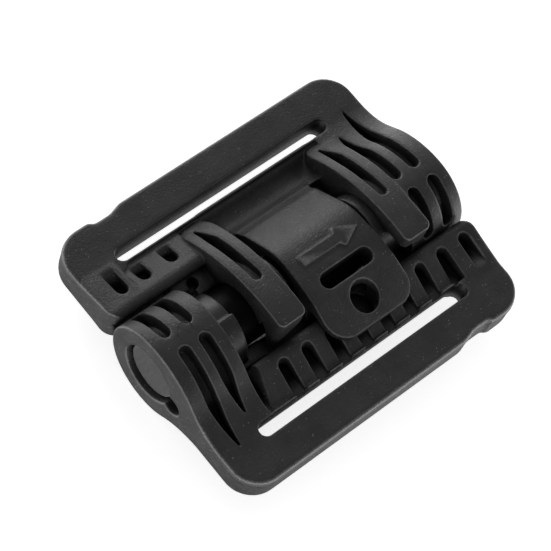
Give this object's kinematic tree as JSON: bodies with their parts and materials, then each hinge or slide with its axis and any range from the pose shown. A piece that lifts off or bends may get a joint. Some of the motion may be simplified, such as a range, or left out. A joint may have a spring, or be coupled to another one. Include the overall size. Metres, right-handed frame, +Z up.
{
  "type": "hinged webbing buckle",
  "caption": "Black moulded hinged buckle for wide webbing: a slotted front half and a slotted rear half turn on a keyed spindle and part when the sprung tab is lifted and slid.",
  "frame": {"origin": "under the middle of the hinge axis, on the plane the barrels rest on", "axes": "+X along the hinge axis (the way the arrow points), +Y towards the rear half, +Z up"},
  "size_m": [0.0682, 0.0582, 0.0204],
  "materials": {
    "shell_black": "fine moulded texture, glass-filled nylon",
    "spindle_black": "smooth satin nylon",
    "liner_black": "smooth satin acetal",
    "pin_steel": "ground steel"
  },
  "bodies": {
    "front_half": {"front_frame": "shell_black", "retaining_pin": "pin_steel"},
    "spindle_set": {"spindle": "spindle_black", "stop_collar": "spindle_black"},
    "rear_half": {"rear_frame": "shell_black", "liner_left": "liner_black", "liner_right": "liner_black"},
    "tab": {"release_tab": "shell_black"}
  },
  "joints": [
    {"name": "halves_pivot", "type": "hinge", "parent": "front_half", "child": "spindle_set", "pos_m": [0, 0, 0.0099], "axis": [1, 0, 0], "range_deg": [-70, 0]},
    {"name": "release_slide", "type": "slide", "parent": "spindle_set", "child": "rear_half", "axis": [1, 0, 0], "range_m": [0, 0.0022]},
    {"name": "tab_lift", "type": "hinge", "parent": "rear_half", "child": "tab", "pos_m": [0.0054, 0.0153, 0.0073], "axis": [-1, 0, 0], "range_deg": [0, 8.4], "stiffness_Nm_per_rad": 0.6}
  ],
  "couplings": [
    {"joint": "tab_lift", "follows": "release_slide", "rad_per_m": 65.4}
  ]
}
